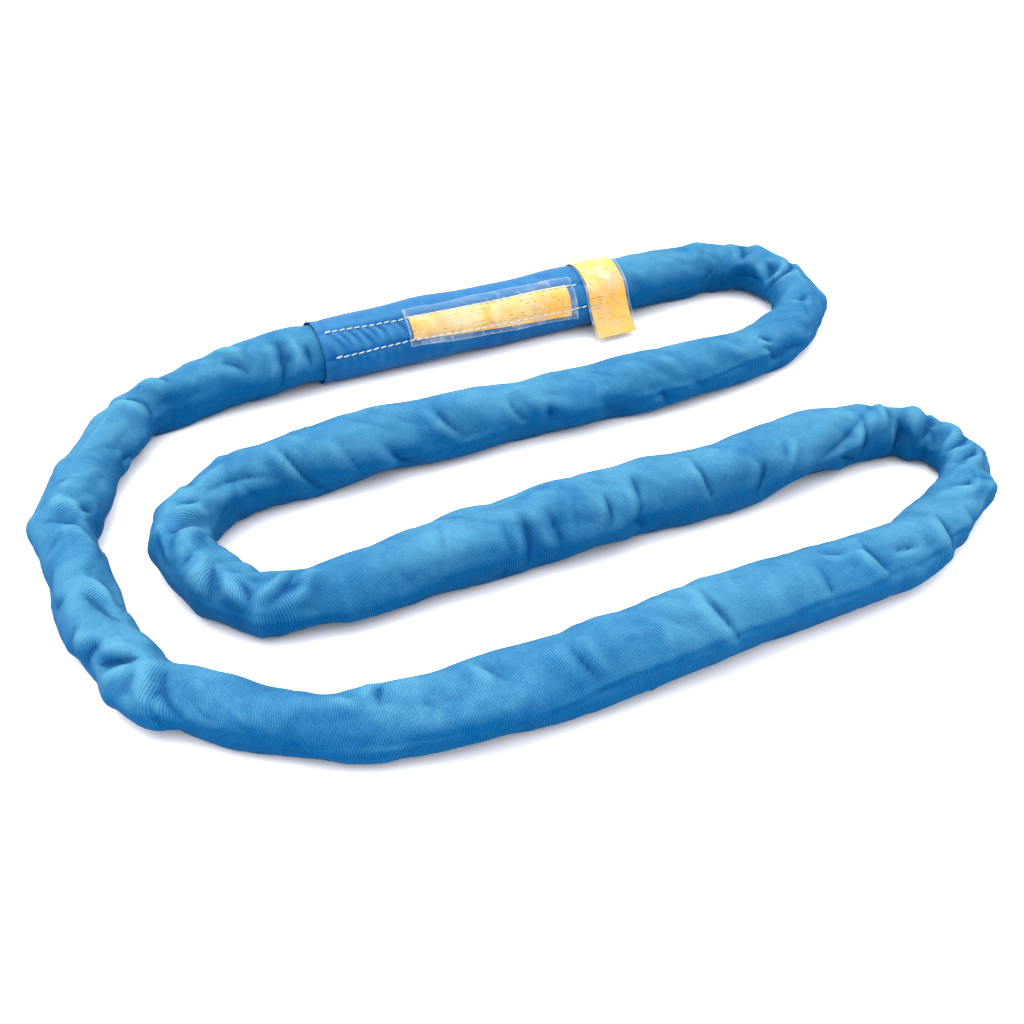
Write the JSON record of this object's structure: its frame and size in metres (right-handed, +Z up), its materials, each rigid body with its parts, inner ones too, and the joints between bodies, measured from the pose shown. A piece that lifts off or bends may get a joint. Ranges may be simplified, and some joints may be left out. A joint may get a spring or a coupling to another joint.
{
  "type": "round sling",
  "caption": "Endless polyester round sling in a blue woven cover, laid out in four soft runs, with a stitched joint sleeve, a sewn label and a loose yellow tag.",
  "frame": {"origin": "middle of the underside of the sling's bounding box, on the surface it lies on", "axes": "+Z up from that surface; +X along the four long runs, from the left bends to the right bights; +Y from the run without labels at the front to the run with the joint sleeve at the back"},
  "size_m": [0.6079, 0.437, 0.0464],
  "materials": {
    "cover_weave": "ribbed woven polyester, mid blue, matt with a faint sheen",
    "sleeve_fabric": "smooth close-woven polyester, mid blue, matt",
    "core_yarn": "white high-tenacity polyester yarn, soft sheen",
    "join_tape": "tan adhesive tape, satin",
    "thread": "white lock-stitch thread",
    "yellow_card": "printed yellow label stock, satin",
    "clear_film": "clear flexible vinyl, glossy and slightly cloudy"
  },
  "bodies": {
    "root": {"core_yarn_1": "core_yarn", "core_yarn_2": "core_yarn", "core_yarn_3": "core_yarn", "core_yarn_4": "core_yarn", "core_yarn_5": "core_yarn", "core_yarn_6": "core_yarn", "core_yarn_7": "core_yarn", "core_join_tape": "join_tape", "cover": "cover_weave", "cover_seam": "cover_weave", "joint_sleeve": "sleeve_fabric", "stitch_row_upper": "thread", "stitch_row_lower": "thread", "label_card": "yellow_card", "label_window": "clear_film", "tag_root_card": "yellow_card", "tag_root_window": "clear_film", "tag_stitch": "thread"},
    "tag_flap": {"tag_flap_card": "yellow_card", "tag_flap_window": "clear_film"}
  },
  "joints": [
    {"name": "tag_lift", "type": "hinge", "parent": "root", "child": "tag_flap", "pos_m": [0.1379, 0.1959, 0.0439], "axis": [-0.9961, -0.088, 0], "range_deg": [0, 110]}
  ]
}
